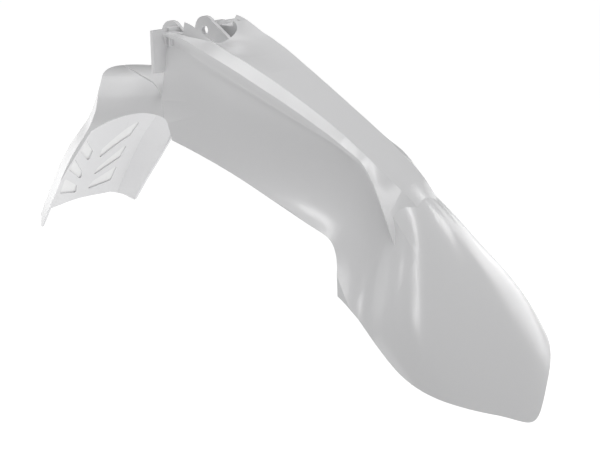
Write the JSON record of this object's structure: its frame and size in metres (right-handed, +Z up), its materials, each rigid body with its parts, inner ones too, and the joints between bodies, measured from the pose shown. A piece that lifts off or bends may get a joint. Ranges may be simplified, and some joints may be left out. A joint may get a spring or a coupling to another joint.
{
  "type": "motorcycle front mudguard",
  "caption": "Moulded front mudguard for an off-road motorcycle: a ridged spine and side walls that open into a broad front spoon, with a recessed rear flap and mounting lugs.",
  "frame": {"origin": "on the axis of the lugs' cross hole, midway between the two lugs", "axes": "+X to the front of the machine, +Y to its left along the cross hole, +Z up along the steering axis"},
  "size_m": [0.6474, 0.2078, 0.3336],
  "materials": {
    "white_polypropylene": "injection moulded, polished outside"
  },
  "bodies": {
    "root": {"mudguard": "white_polypropylene"}
  },
  "joints": []
}
